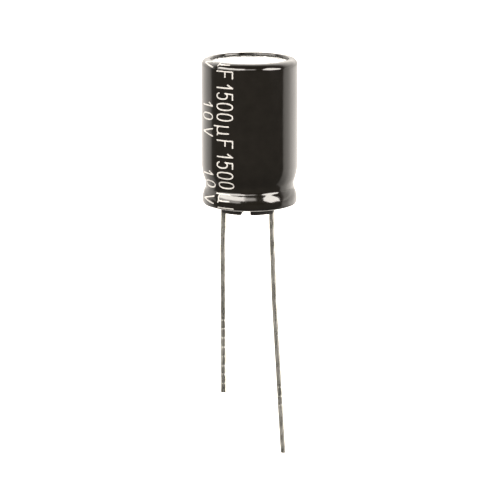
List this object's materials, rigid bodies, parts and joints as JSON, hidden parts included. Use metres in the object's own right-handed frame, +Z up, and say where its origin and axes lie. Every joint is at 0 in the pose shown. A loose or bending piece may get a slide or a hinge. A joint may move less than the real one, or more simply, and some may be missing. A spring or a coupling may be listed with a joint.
{
  "type": "electrolytic capacitor",
  "caption": "Radial-lead aluminium electrolytic capacitor: sleeved round can with crimped base, rubber seal, wound foil element inside and straight uncut wire leads of unequal length",
  "frame": {"origin": "on the can's axis, in the plane of the board that the seal's pads stand on, within 0.25 mm of the middle of the lead pair", "axes": "+Z runs up the can, away from the leads; X runs through both leads, with the long anode lead on +X; +Y is the side away from the picture's camera"},
  "size_m": [0.0104, 0.0104, 0.0433],
  "materials": {
    "film": "shrunk glossy black film with pale print",
    "can_metal": "drawn, satin",
    "seal_rubber": "moulded, matte",
    "tinned_wire": "tin-plated, slightly dulled",
    "tab_metal": "pressed, plain",
    "etched_foil": "etched, matte grey",
    "plain_foil": "rolled, satin",
    "separator_paper": "soaked electrolytic paper",
    "tape": "adhesive tape"
  },
  "bodies": {
    "root": {"sleeve": "film", "can": "can_metal", "rubber_seal": "seal_rubber", "anode_lead": "tinned_wire", "cathode_lead": "tinned_wire", "anode_tab": "tab_metal", "cathode_tab": "tab_metal", "anode_foil": "etched_foil", "cathode_foil": "plain_foil", "separator_inner": "separator_paper", "separator_outer": "separator_paper", "fixing_tape": "tape"}
  },
  "joints": []
}
